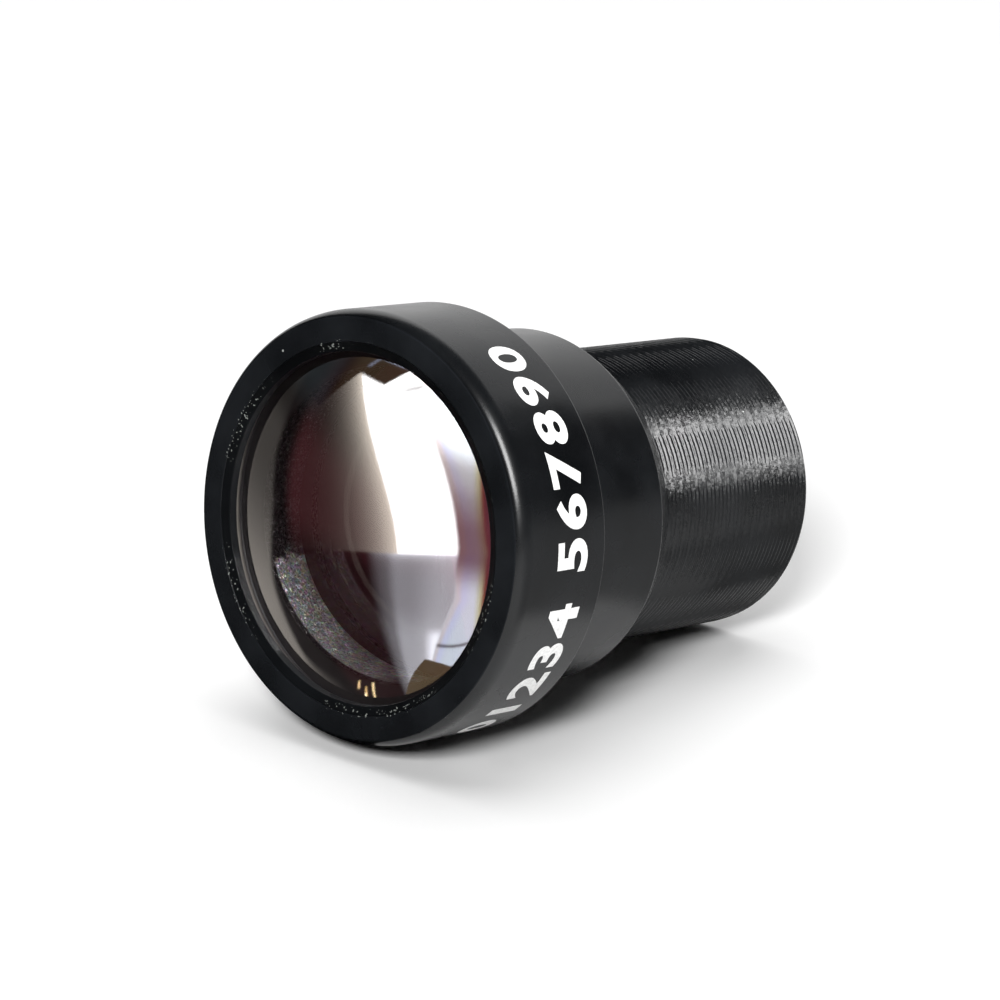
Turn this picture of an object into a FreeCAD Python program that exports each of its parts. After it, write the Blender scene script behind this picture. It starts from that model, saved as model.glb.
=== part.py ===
import FreeCAD, Part
import math
import os

# An M12 board camera lens of 25 mm focal length, standing on the rear end of its threaded tube.
# +Z is the optical axis and points to the front glass. The origin is the centre of the rear end face.
# Every piece is turned about the axis. Depths are measured from the barrel's front face towards
# the rear, in millimetres, and section() turns a radius and a depth into a point of the model.
# The front group (front ring to aperture stop) is loaded from the front against the front side of a
# web inside the barrel, and the rear group (fourth lens to rear ring) from the rear against its back.

# Barrel, outside
head_radius = 8.4
head_length = 4.95
step_radius = 7.05
step_length = 6.05
tube_radius = 6.0             # nominal radius of the M12 x 0.5 thread
tube_length = 10.0
front_edge_width = 0.35       # radial size of the rounded front edge of the head
front_edge_depth = 0.75       # axial size of the same rounding
rounding_facets = 3
head_rear_chamfer = 0.12
step_chamfer_width = 0.6      # radial size of the long chamfer at the rear of the step band
step_chamfer_length = 1.05    # axial size of the same chamfer
tube_end_chamfer = 0.35

# Fits between the pieces
lens_clearance = 0.02         # radial, between a glass or a spacer and its bore
thread_clearance = 0.01       # radial, between a threaded ring and the plain wall of its thread
shoulder_relief = 0.1         # axial room that lets the rings clamp the glasses, not the barrel
glue_gap = 0.02               # round the filter in its seat

# Front ring
front_ring_radius = 7.165
front_ring_bore = 6.8
front_ring_bevel = 0.13       # how far the ring's front face falls towards its bore
front_glass_depth = 0.5       # where the ring's rear edge holds the dome of the front lens
front_thread_depth = 0.95     # depth of the thread in the head that holds the front ring

# Glasses. A curve is a radius of curvature, positive where its centre lies behind the surface.
# A concave side is ground flat from its clear radius out to the rim.
front_lens_rim = 7.0
front_lens_curves = (16.8, 88.0)
front_lens_thickness = 4.2
front_lens_rear_clear = 5.6
front_gap = 0.7               # between the vertices of the front lens and the second lens

second_lens_rim = 5.6
second_lens_curves = (11.1, 43.0)
second_lens_thickness = 2.8
second_lens_rear_clear = 4.7
second_gap = 1.2

third_lens_rim = 5.6
third_lens_curves = (-200.0, 7.85)
third_lens_thickness = 0.9
third_lens_front_clear = 4.5
third_lens_rear_clear = 3.9
stop_gap = 1.5                # from the third lens's rear vertex to the front of the aperture stop

fourth_gap = 1.1              # from the rear of the aperture stop to the fourth lens's front vertex
fourth_lens_rim = 4.9
fourth_lens_curves = (-40.0, -20.8)
fourth_lens_thickness = 2.4
fourth_lens_front_clear = 4.35
fifth_gap = 2.5

fifth_lens_rim = 4.9
fifth_lens_curves = (-140.0, -21.8)
fifth_lens_thickness = 1.6
fifth_lens_front_clear = 4.3

# Spacers, stop and web
front_spacer_front_bore = 5.5
front_spacer_rear_bore = 5.1
front_spacer_flange = 0.6     # thickness of the flange under the front lens
second_spacer_bore = 4.8
third_spacer_bore = 4.1
stop_radius = 3.3
stop_thickness = 0.1
web_bore = 4.3
fourth_spacer_bore = 4.3
baffle_depth = 0.28           # depth of the grooves that trap stray light in the fourth spacer
baffle_pitch = 0.5
baffle_margin = 0.35          # plain land at each end of the grooves

# Rear ring and filter
rear_ring_radius = 5.05
rear_ring_length = 2.45
rear_ring_bore = 4.0
rear_thread_run_out = 0.6     # thread in the tube beyond the rear ring's front end
rear_mouth_chamfer = 0.15
filter_radius = 4.45
filter_thickness = 0.5
filter_sink = 0.05            # how far the filter lies below the rear ring's rear face
spanner_slot_width = 0.9
spanner_slot_depth = 0.5

barrel_length = head_length + step_length + tube_length


def section(radius, depth):
    """A point of the half section at a radius from the axis and a depth from the front face."""
    return FreeCAD.Vector(radius, 0, barrel_length - depth)


def sagitta(curve, radius):
    """How much deeper a surface of this curve lies at a radius than at its vertex."""
    return curve - math.copysign(math.sqrt(curve * curve - radius * radius), curve)


class Outline:
    """A closed outline in the half section, drawn edge by edge and turned about the axis."""

    def __init__(self, radius, depth):
        self.first = self.last = (radius, depth)
        self.edges = []

    def line(self, radius, depth):
        """A straight edge to a point, left out where the outline is already there."""
        if math.hypot(radius - self.last[0], depth - self.last[1]) > 1e-6:
            self.edges.append(Part.LineSegment(section(*self.last), section(radius, depth)).toShape())
            self.last = (radius, depth)
        return self

    def rounding(self, width, depth, facets=rounding_facets):
        """A quarter of an ellipse from a flat face to the side of a cylinder, in short straight facets."""
        start_radius, start_depth = self.last
        for facet in range(1, facets + 1):
            turn = math.radians(90) * facet / facets
            self.line(start_radius + width * math.sin(turn), start_depth + depth * (1 - math.cos(turn)))
        return self

    def turned(self):
        """The solid that the outline makes in one turn about the axis."""
        self.line(*self.first)
        face = Part.Face(Part.Wire(self.edges))
        return face.revolve(section(0, 0), FreeCAD.Vector(0, 0, 1), 360)


class Lens:
    """A glass between two spherical surfaces, with its place along the axis."""

    def __init__(self, vertex, curves, thickness, rim, front_clear=None, rear_clear=None):
        self.front, self.rear = vertex, vertex + thickness
        self.front_curve, self.rear_curve = curves
        self.rim = rim
        self.front_clear = front_clear or rim
        self.rear_clear = rear_clear or rim

    def front_at(self, radius):
        """Depth of the front side at a radius: the sphere, or the flat rim outside it."""
        return self.front + sagitta(self.front_curve, min(radius, self.front_clear))

    def rear_at(self, radius):
        """Depth of the rear side at a radius: the sphere, or the flat rim outside it."""
        return self.rear + sagitta(self.rear_curve, min(radius, self.rear_clear))

    def shape(self):
        """The glass as a solid: a round blank, ground by a ball on each side."""
        start, end = min(self.front, self.front_at(self.rim)), max(self.rear, self.rear_at(self.rim))
        blank = Part.makeCylinder(self.rim, end - start, section(0, end))
        for vertex, curve, side in ((self.front, self.front_curve, 1), (self.rear, self.rear_curve, -1)):
            ball = Part.makeSphere(abs(curve), section(0, vertex + curve), FreeCAD.Vector(1, 0, 0))
            blank = blank.common(ball) if curve * side > 0 else blank.cut(ball)
        return blank


def sleeve(outer, start, end, front_bore, rear_bore):
    """A spacer whose bore tapers from its front end to its rear end."""
    outline = Outline(front_bore, start).line(outer, start).line(outer, end).line(rear_bore, end)
    return outline.turned()


# The glasses follow each other from the front ring and through the stop to the rear
front_lens = Lens(front_glass_depth - sagitta(front_lens_curves[0], front_ring_bore), front_lens_curves,
                  front_lens_thickness, front_lens_rim, rear_clear=front_lens_rear_clear)
second_lens = Lens(front_lens.rear + front_gap, second_lens_curves,
                   second_lens_thickness, second_lens_rim, rear_clear=second_lens_rear_clear)
third_lens = Lens(second_lens.rear + second_gap, third_lens_curves, third_lens_thickness,
                  third_lens_rim, third_lens_front_clear, third_lens_rear_clear)
stop_front = third_lens.rear + stop_gap
stop_rear = stop_front + stop_thickness
fourth_lens = Lens(stop_rear + fourth_gap, fourth_lens_curves, fourth_lens_thickness,
                   fourth_lens_rim, front_clear=fourth_lens_front_clear)
fifth_lens = Lens(fourth_lens.rear + fifth_gap, fifth_lens_curves, fifth_lens_thickness,
                  fifth_lens_rim, front_clear=fifth_lens_front_clear)

# Bores of the barrel, from the pieces that they hold
front_bore = front_lens_rim + lens_clearance
second_bore = max(second_lens_rim, third_lens_rim) + lens_clearance
rear_bore = max(fourth_lens_rim, fifth_lens_rim) + lens_clearance
front_thread_bore = front_ring_radius + thread_clearance
rear_thread_bore = rear_ring_radius + thread_clearance
shoulder_depth = front_lens.rear_at(front_lens_rim) + front_spacer_flange + shoulder_relief
rear_ring_front = fifth_lens.rear_at(rear_ring_bore)
rear_ring_rear = rear_ring_front + rear_ring_length


def barrel():
    """Head, step band and threaded tube in one piece, bored in steps from both ends."""
    step_start = head_length
    tube_start = head_length + step_length
    web_rear = fourth_lens.front_at(fourth_lens_rim)
    outline = Outline(front_thread_bore, 0)
    outline.line(head_radius - front_edge_width, 0)
    outline.rounding(front_edge_width, front_edge_depth)
    outline.line(head_radius, step_start - head_rear_chamfer)
    outline.line(head_radius - head_rear_chamfer, step_start)
    outline.line(step_radius, step_start).line(step_radius, tube_start - step_chamfer_length)
    outline.line(step_radius - step_chamfer_width, tube_start)
    outline.line(tube_radius, tube_start).line(tube_radius, barrel_length - tube_end_chamfer)
    outline.line(tube_radius - tube_end_chamfer, barrel_length)
    outline.line(rear_thread_bore + rear_mouth_chamfer, barrel_length)
    outline.line(rear_thread_bore, barrel_length - rear_mouth_chamfer)
    outline.line(rear_thread_bore, rear_ring_front - rear_thread_run_out)
    outline.line(rear_bore, rear_ring_front - rear_thread_run_out)
    outline.line(rear_bore, web_rear).line(web_bore, web_rear).line(web_bore, stop_rear)
    outline.line(second_bore, stop_rear).line(second_bore, shoulder_depth)
    outline.line(front_bore, shoulder_depth).line(front_bore, front_thread_depth)
    outline.line(front_thread_bore, front_thread_depth)
    return outline.turned()


def front_ring():
    """Thin threaded ring that clamps the dome of the front lens with its rear inner edge."""
    outline = Outline(front_ring_bore, front_ring_bevel).line(front_ring_radius, 0)
    outline.line(front_ring_radius, front_glass_depth).line(front_ring_bore, front_glass_depth)
    return outline.turned()


def front_spacer():
    """Flanged sleeve under the front lens; its narrow end holds the dome of the second lens."""
    start = front_lens.rear_at(front_lens_rim)
    end = second_lens.front_at(front_spacer_rear_bore)
    outline = Outline(front_spacer_front_bore, start).line(front_lens_rim, start)
    outline.line(front_lens_rim, start + front_spacer_flange)
    outline.line(second_lens_rim, start + front_spacer_flange).line(second_lens_rim, end)
    outline.line(front_spacer_rear_bore, end)
    return outline.turned()


def second_spacer():
    """Washer between the flat rims of the second and the third lens."""
    start, end = second_lens.rear_at(second_lens_rim), third_lens.front_at(third_lens_rim)
    return sleeve(second_lens_rim, start, end, second_spacer_bore, second_spacer_bore)


def third_spacer():
    """Ring that holds the third lens off the aperture stop, opened towards the glass."""
    start = third_lens.rear_at(third_lens_rim)
    return sleeve(second_lens_rim, start, stop_front, third_spacer_bore, third_spacer_bore)


def aperture_stop():
    """Blackened disc whose hole sets the f-number; it lies on the front side of the web."""
    return sleeve(second_lens_rim, stop_front, stop_rear, stop_radius, stop_radius)


def fourth_spacer():
    """Long sleeve between the rear glasses, grooved inside to trap stray light."""
    start = fourth_lens.rear_at(fourth_spacer_bore)
    end = fifth_lens.front_at(fifth_lens_rim)
    grooves = int((end - start - 2 * baffle_margin) / baffle_pitch)
    first = (start + end - grooves * baffle_pitch) / 2
    outline = Outline(fourth_spacer_bore, start).line(fourth_lens_rim, start)
    outline.line(fourth_lens_rim, end).line(fourth_spacer_bore, end)
    for groove in reversed(range(grooves)):
        rear_edge = first + (groove + 1) * baffle_pitch
        outline.line(fourth_spacer_bore, rear_edge)
        outline.line(fourth_spacer_bore + baffle_depth, rear_edge)
        outline.line(fourth_spacer_bore, rear_edge - baffle_pitch)
    return outline.turned()


def rear_ring():
    """Threaded ring that clamps the rear group and carries the filter in its rear face."""
    seat_radius = filter_radius + glue_gap
    seat_depth = rear_ring_rear - filter_thickness - filter_sink
    outline = Outline(rear_ring_bore, rear_ring_front).line(rear_ring_radius, rear_ring_front)
    outline.line(rear_ring_radius, rear_ring_rear).line(seat_radius, rear_ring_rear)
    outline.line(seat_radius, seat_depth).line(rear_ring_bore, seat_depth)
    slots = Part.makeBox(2 * rear_thread_bore, spanner_slot_width, spanner_slot_depth)
    slots.translate(section(-rear_thread_bore, rear_ring_rear) - FreeCAD.Vector(0, spanner_slot_width / 2, 0))
    hub = Part.makeCylinder(seat_radius, spanner_slot_depth, section(0, rear_ring_rear))
    return outline.turned().cut(slots.cut(hub))


def ir_filter():
    """Thin coated disc glued in the rear ring's seat."""
    rear = rear_ring_rear - filter_sink
    outline = Outline(0, rear - filter_thickness).line(filter_radius, rear - filter_thickness)
    return outline.line(filter_radius, rear).line(0, rear).turned()


pieces = {
    "barrel": barrel(),
    "front_ring": front_ring(),
    "front_lens": front_lens.shape(),
    "front_spacer": front_spacer(),
    "second_lens": second_lens.shape(),
    "second_spacer": second_spacer(),
    "third_lens": third_lens.shape(),
    "third_spacer": third_spacer(),
    "aperture_stop": aperture_stop(),
    "fourth_lens": fourth_lens.shape(),
    "fourth_spacer": fourth_spacer(),
    "fifth_lens": fifth_lens.shape(),
    "rear_ring": rear_ring(),
    "ir_filter": ir_filter(),
}

os.makedirs("parts", exist_ok=True)
for name, shape in pieces.items():
    shape.exportStep(os.path.join("parts", name + ".step"))
    print(name, len(shape.Solids), round(shape.Volume, 3), shape.isValid())
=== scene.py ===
"""Looks of a board camera lens with an M12 thread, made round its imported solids.

Lengths are millimetres until a mesh is written, and a depth is measured from the front face of
the barrel towards the rear, so that a point of the model stands at the height of the barrel less
its depth. The lens stands on its rear end with the optical axis along +Z, as the solids do, and the
camera, floor and lamps are turned round it to show it lying on its side.
"""

import sys
import logging
import math
from collections.abc import Sequence
from dataclasses import dataclass
from enum import Enum

import bmesh
import bpy
import numpy as np
from mathutils import Matrix, Vector
from numpy.typing import NDArray


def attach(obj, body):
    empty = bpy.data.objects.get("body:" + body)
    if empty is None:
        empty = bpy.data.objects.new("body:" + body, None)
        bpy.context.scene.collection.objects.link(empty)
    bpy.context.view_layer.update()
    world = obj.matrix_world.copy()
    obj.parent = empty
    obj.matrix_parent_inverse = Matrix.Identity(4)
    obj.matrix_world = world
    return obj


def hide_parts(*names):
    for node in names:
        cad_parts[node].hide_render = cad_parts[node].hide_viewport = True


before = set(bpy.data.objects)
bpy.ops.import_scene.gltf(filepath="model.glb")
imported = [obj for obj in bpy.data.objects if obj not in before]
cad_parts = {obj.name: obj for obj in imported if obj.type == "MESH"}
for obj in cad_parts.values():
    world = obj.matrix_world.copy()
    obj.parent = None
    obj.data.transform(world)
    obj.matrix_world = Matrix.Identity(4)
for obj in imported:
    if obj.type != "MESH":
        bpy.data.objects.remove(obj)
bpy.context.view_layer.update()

log = logging.getLogger("lens")

MILLIMETRE = 0.001
FULL_TURN = 2 * math.pi
COLUMNS = 192                     # points in one turn of a turned piece
BODY = "root"
BARREL_LENGTH = 21.0
FRONT_GLASS = "front_glass_only"   # collection of the piece that the glow sheet shows in

Colour = tuple[float, float, float]
Corner = tuple[float, float, float]   # radius, depth and rounding, mm
Steps = tuple[tuple[float, Colour], ...]   # places along a line and their colours
Values = NDArray[np.float64]
Socket = bpy.types.NodeSocket


class Slot(Enum):
    """The record's material slots."""

    BARREL = "black_anodised"
    RING = "black_ring"
    SPACER = "black_spacer"
    STOP = "stop_black"
    FRONT_GLASS = "front_glass"
    INNER_GLASS = "inner_glass"
    FILTER = "filter_glass"


class Lit(Enum):
    """What a lamp lights, by the floor's state in the lamp's light linking."""

    ALL = ""
    LENS = "EXCLUDE"
    FLOOR = "INCLUDE"


class Graph:
    """A material's node tree, filled by short calls."""

    def __init__(self, name: str) -> None:
        """Starts an empty material.

        Args:
            name: name of the material.
        """
        self.material = bpy.data.materials.new(name)
        self.material.use_nodes = True
        self.tree = self.material.node_tree
        self.tree.nodes.clear()
        self.output = self.tree.nodes.new("ShaderNodeOutputMaterial")

    def node(self, kind: str, inputs: dict | None = None, **settings: object) -> bpy.types.Node:
        """Adds a node.

        Args:
            kind: node type without its ShaderNode prefix.
            inputs: value or source socket for each input, by name or index.
            settings: properties of the node.

        Returns:
            The new node.
        """
        made = self.tree.nodes.new("ShaderNode" + kind)
        for key, value in settings.items():
            setattr(made, key, value)
        for key, value in (inputs or {}).items():
            if isinstance(value, Socket):
                self.tree.links.new(value, made.inputs[key])
            else:
                made.inputs[key].default_value = value
        return made

    def maths(self, operation: str, *values: object) -> Socket:
        """Adds a Math node and returns its result."""
        return self.node("Math", dict(enumerate(values)), operation=operation).outputs[0]

    def object_point(self) -> Socket:
        """Object coordinates, in metres."""
        return self.node("TexCoord").outputs["Object"]

    def turned_point(self) -> Socket:
        """The point as radius and height, which makes any pattern on it run round the axis.

        Returns:
            The point, with its distance from the axis as x, 0 as y and its height as z.
        """
        parts = self.node("SeparateXYZ", {0: self.object_point()})
        flat = self.node("CombineXYZ", {0: parts.outputs[0], 1: parts.outputs[1]})
        radius = self.node("VectorMath", {0: flat.outputs[0]}, operation="LENGTH").outputs["Value"]
        return self.node("CombineXYZ", {0: radius, 2: parts.outputs[2]}).outputs[0]

    def noise(self, point: Socket, size: float, detail: float = 2.0) -> Socket:
        """Noise whose features are about as large as size, in millimetres."""
        scale = 1 / (size * MILLIMETRE)
        return self.node("TexNoise", {"Vector": point, "Scale": scale, "Detail": detail}).outputs["Fac"]

    def cells(self, point: Socket, size: float) -> bpy.types.Node:
        """Random cells about as large as size, in millimetres."""
        return self.node("TexVoronoi", {"Vector": point, "Scale": 1 / (size * MILLIMETRE)})

    def spread(self, value: Socket, low: float, high: float,
               to_low: float = 0.0, to_high: float = 1.0) -> Socket:
        """The value moved from one range to another and held inside it."""
        made = self.node("MapRange", {"Value": value, "From Min": low, "From Max": high,
                                      "To Min": to_low, "To Max": to_high})
        return made.outputs["Result"]

    def blend(self, share: object, first: object, second: object) -> Socket:
        """A colour between two colours.

        Args:
            share: how far towards the second colour, as a value or a socket.
            first: the colour at a share of 0, as a value or a socket.
            second: the colour at a share of 1.

        Returns:
            The mixed colour.
        """
        made = self.node("Mix", {"Factor": share}, data_type="RGBA")
        for key, value in (("A", first), ("B", second)):
            socket = next(s for s in made.inputs if s.name == key and s.type == "RGBA")
            if isinstance(value, Socket):
                self.tree.links.new(value, socket)
            else:
                socket.default_value = (*value, 1.0)
        return next(s for s in made.outputs if s.type == "RGBA")

    def bump(self, height: Socket, depth: float, normal: Socket | None = None) -> Socket:
        """A bumped normal.

        Args:
            height: the pattern, from 0 to 1.
            depth: its relief, in millimetres.
            normal: the normal that it is laid on, or None for the surface's own.

        Returns:
            The bumped normal.
        """
        inputs = {"Height": height, "Distance": depth * MILLIMETRE}
        if normal is not None:
            inputs["Normal"] = normal
        return self.node("Bump", inputs).outputs["Normal"]

    def facets(self, point: Socket, size: float, tilt: float) -> Socket:
        """A normal that leans another way in each small cell, as crushed metal does.

        Each cell's random colour less a half, times twice the tilt, is added to the normal.

        Args:
            point: where the pattern is read.
            size: size of a cell, in millimetres.
            tilt: the furthest that a cell leans along each axis.

        Returns:
            The normal.
        """
        colour = self.cells(point, size).outputs["Color"]
        lean = self.node("VectorMath", {0: colour, 1: (0.5, 0.5, 0.5)}, operation="SUBTRACT")
        lean = self.node("VectorMath", {0: lean.outputs[0], "Scale": 2 * tilt}, operation="SCALE")
        normal = self.node("NewGeometry").outputs["Normal"]
        both = self.node("VectorMath", {0: lean.outputs[0], 1: normal}, operation="ADD")
        return self.node("VectorMath", {0: both.outputs[0]}, operation="NORMALIZE").outputs[0]

    def finish(self, shader: Socket) -> bpy.types.Material:
        """Joins the shader to the output and returns the material."""
        self.tree.links.new(shader, self.output.inputs["Surface"])
        return self.material


@dataclass(frozen=True)
class Anodised:
    """Black anodised aluminium: bead-blasted, with faint turning marks and a little dust."""

    name: str
    colour: Colour = (0.0030, 0.0034, 0.0040)
    roughness: float = 0.20
    grain: float = 0.09           # size of the blasted grains, mm
    grain_relief: float = 0.0018  # mm
    marks: float = 0.06           # pitch of the turning marks, mm
    marks_relief: float = 0.0006
    dust: float = 0.0             # share of the dust cells that hold a speck
    dust_cell: float = 0.9        # size of a dust cell, mm
    shine: float = 0.5            # specular level, where 0.5 is plain
    tilt: float = 0.0             # lean of the small facets
    speck: float = 0.05           # size of a speck, as a share of a dust cell
    dust_colour: Colour = (0.5, 0.52, 0.5)
    chips: tuple[float, float] | None = None   # radii between which a joint is chipped, mm
    chip: float = 0.11            # size of a chip, mm
    chip_colour: Colour = (0.3, 0.32, 0.3)

    def dusted(self, graph: Graph, point: Socket, colour: Socket) -> Socket:
        """Adds specks of dust to a colour.

        A speck is the middle of a random cell, in as many of the cells as the share of dust says.

        Args:
            graph: the material's nodes.
            point: where the pattern is read.
            colour: the colour under the dust.

        Returns:
            The colour with its specks.
        """
        cells = graph.cells(point, self.dust_cell)
        chance = graph.node("SeparateColor", {0: cells.outputs["Color"]})
        near = graph.maths("LESS_THAN", cells.outputs["Distance"], self.speck)
        picked = graph.maths("LESS_THAN", chance.outputs[0], self.dust)
        return graph.blend(graph.maths("MULTIPLY", near, picked), colour, self.dust_colour)

    def chipped(self, graph: Graph, point: Socket, colour: Socket) -> Socket:
        """Adds bright chips along a joint to a colour.

        A chip is a peak of fine noise between the two radii of the joint, on the stretches of it
        that a coarse noise picks.

        Args:
            graph: the material's nodes.
            point: where the pattern is read.
            colour: the colour round the chips.

        Returns:
            The colour with its chips.
        """
        radius = graph.node("SeparateXYZ", {0: graph.turned_point()}).outputs[0]
        low, high = (r * MILLIMETRE for r in self.chips)
        near = graph.maths("MULTIPLY", graph.maths("GREATER_THAN", radius, low),
                           graph.maths("LESS_THAN", radius, high))
        spots = graph.maths("GREATER_THAN", graph.noise(point, self.chip, 1.0), 0.66)
        stretch = graph.spread(graph.noise(point, 3.0, 1.0), 0.5, 0.6)
        share = graph.maths("MULTIPLY", graph.maths("MULTIPLY", near, spots), stretch)
        return graph.blend(share, colour, self.chip_colour)

    def material(self) -> bpy.types.Material:
        """Makes the finish's nodes.

        Returns:
            The finish as a material.
        """
        graph = Graph(self.name)
        point = graph.object_point()
        grains = graph.noise(point, self.grain, 1.0)
        rings = graph.noise(graph.turned_point(), self.marks, 1.0)
        wear_and_lit_patch = graph.noise(point, 3.5, 3.0)
        facets = graph.facets(point, 1.5 * self.grain, self.tilt) if self.tilt else None
        normal = graph.bump(grains, self.grain_relief, normal=facets)
        normal = graph.bump(rings, self.marks_relief, normal=normal)
        lighter = tuple(2.2 * c for c in self.colour)
        colour = graph.blend(graph.spread(wear_and_lit_patch, 0.35, 0.7), self.colour, lighter)
        rough = graph.spread(wear_and_lit_patch, 0.3, 0.7, self.roughness - 0.05, self.roughness + 0.07)
        if self.dust:
            colour = self.dusted(graph, point, colour)
        if self.chips:
            colour = self.chipped(graph, point, colour)
        shader = graph.node("BsdfPrincipled", {"Base Color": colour, "Roughness": rough,
                                               "Normal": normal, "Specular IOR Level": self.shine})
        return graph.finish(shader.outputs[0])


@dataclass(frozen=True)
class Blasted:
    """Blackened, coarsely blasted metal, with a painted pool of light: a patch of bare grains, which
    glitter, shown in place of the black where light falls.
    """

    name: str
    black: Colour = (0.010, 0.0065, 0.008)
    lit_bare: Colour = (0.5, 0.49, 0.49)
    metal: float = 0.5
    roughness: float = 0.38
    grain: float = 0.05
    tilt: float = 0.5
    wear_and_lit_patch: tuple[float, float] | None = None   # angles of the painted pool of light, where bare metal shows in place of the black, degrees
    lit_patch_from: float = 0.0        # depth from which the painted pool of light starts, mm

    def lit_patch_metal(self, graph: Graph, point: Socket, grains: Socket) -> Socket:
        """Colour of the painted pool of light: bare metal of light and dark grains, some tinted, some
        patches still darker.

        Args:
            graph: the material's nodes.
            point: where the patterns are read.
            grains: the noise of the grains, from 0 to 1.

        Returns:
            The colour.
        """
        tints = graph.cells(point, 2 * self.grain).outputs["Color"]
        patches = graph.noise(point, 0.5, 2.0)
        dark, darker = (tuple(share * c for c in self.lit_bare) for share in (0.4, 0.3))
        lit_bare = graph.blend(graph.spread(grains, 0.35, 0.65), dark, self.lit_bare)
        lit_bare = graph.blend(0.22, lit_bare, tints)
        return graph.blend(graph.spread(patches, 0.35, 0.7, 0.0, 0.6), lit_bare, darker)

    def lit_patch_share(self, graph: Graph, point: Socket) -> Socket:
        """Share of the painted pool of light, where bare metal shows in place of the black.

        It is 1 between the two angles and behind the given depth. A coarse noise moves the place
        of both ends to and fro, and the second end fades out slowly.

        Args:
            graph: the material's nodes.
            point: where the pattern is read.

        Returns:
            The share, from 0 to 1.
        """
        parts = graph.node("SeparateXYZ", {0: point})
        turn = graph.maths("ARCTAN2", parts.outputs[1], parts.outputs[0])
        patches = graph.noise(point, 0.5, 2.0)
        turn = graph.maths("ADD", turn, graph.spread(patches, 0.3, 0.7, -0.05, 0.05))
        first, last = (math.radians(a) for a in self.wear_and_lit_patch)
        share = graph.maths("MULTIPLY", graph.spread(turn, first, first + 0.06),
                            graph.spread(turn, last, last - 0.25))
        start = (BARREL_LENGTH - self.lit_patch_from) * MILLIMETRE
        behind = graph.spread(parts.outputs[2], start, start - 0.1 * MILLIMETRE)
        return graph.maths("MULTIPLY", share, behind)

    def material(self) -> bpy.types.Material:
        """Makes the finish's nodes.

        Returns:
            The finish as a material.
        """
        graph = Graph(self.name)
        point = graph.object_point()
        normal = graph.facets(point, self.grain, self.tilt)
        grains = graph.noise(point, 1.5 * self.grain, 2.0)
        lighter = tuple(3 * c for c in self.black)
        colour = graph.blend(graph.spread(grains, 0.4, 0.7), self.black, lighter)
        if self.wear_and_lit_patch:
            # painted pool of light: bare, glittering metal in place of the black between the given
            # angles
            colour = graph.blend(self.lit_patch_share(graph, point), colour, self.lit_patch_metal(graph, point, grains))
        shader = graph.node("BsdfPrincipled", {"Base Color": colour, "Roughness": self.roughness,
                                               "Metallic": self.metal, "Normal": normal})
        return graph.finish(shader.outputs[0])


@dataclass(frozen=True)
class PolishedGlass:
    """Clear optical glass that lets lamps through to what lies behind it."""

    name: str
    index: float
    tint: Colour = (1.0, 0.995, 0.985)
    gleam: Colour = (1.0, 1.0, 1.0)   # share of the plain reflection that the coating leaves

    def material(self) -> bpy.types.Material:
        """Makes the finish's nodes.

        Returns:
            The finish as a material.
        """
        graph = Graph(self.name)
        glass = graph.node("BsdfPrincipled", {
            "Base Color": (*self.tint, 1.0), "Roughness": 0.0, "IOR": self.index,
            "Transmission Weight": 1.0, "Specular Tint": (*self.gleam, 1.0)})
        clear = graph.node("BsdfTransparent", {"Color": (0.9, 0.9, 0.9, 1.0)})
        path = graph.node("LightPath")
        mixed = graph.node("MixShader", {0: path.outputs["Is Shadow Ray"],
                                         1: glass.outputs[0], 2: clear.outputs[0]})
        return graph.finish(mixed.outputs[0])


@dataclass(frozen=True)
class GroundGlass:
    """The matt ground rim of a lens, darker towards its rear edge as painted shade deeper in the
    barrel.
    """

    name: str
    front: float                  # depth where the rim is palest, mm
    rear: float                   # depth where the painted shade is darkest
    pale: Colour = (0.42, 0.38, 0.33)
    dark: Colour = (0.018, 0.014, 0.016)

    def material(self) -> bpy.types.Material:
        """Makes the finish's nodes.

        Returns:
            The finish as a material.
        """
        graph = Graph(self.name)
        point = graph.object_point()
        height = graph.node("SeparateXYZ", {0: point}).outputs[2]
        low, high = ((BARREL_LENGTH - d) * MILLIMETRE for d in (self.rear, self.front))
        pits = graph.noise(point, 0.05, 1.0)
        clouds = graph.noise(point, 1.2, 2.0)
        # painted shade: the rim darkens with depth into the barrel, pale at the front and dark at the
        # rear
        shade_by_depth = graph.blend(graph.spread(height, low, high), self.dark, self.pale)
        darker = graph.blend(graph.spread(clouds, 0.3, 0.7, 0.0, 0.35), shade_by_depth, self.dark)
        shader = graph.node("BsdfPrincipled", {
            "Base Color": darker, "Roughness": 0.55, "Normal": graph.bump(pits, 0.004)})
        return graph.finish(shader.outputs[0])


@dataclass(frozen=True)
class Print:
    """White ink, slightly uneven."""

    name: str
    colour: Colour = (0.8, 0.8, 0.79)

    def material(self) -> bpy.types.Material:
        """Makes the finish's nodes.

        Returns:
            The finish as a material.
        """
        graph = Graph(self.name)
        patches = graph.noise(graph.object_point(), 0.12, 2.0)
        greyer = tuple(0.8 * c for c in self.colour)
        colour = graph.blend(graph.spread(patches, 0.3, 0.6), greyer, self.colour)
        shader = graph.node("BsdfPrincipled", {"Base Color": colour, "Roughness": 0.6,
                                               "Normal": graph.bump(patches, 0.004)})
        return graph.finish(shader.outputs[0])


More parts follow.
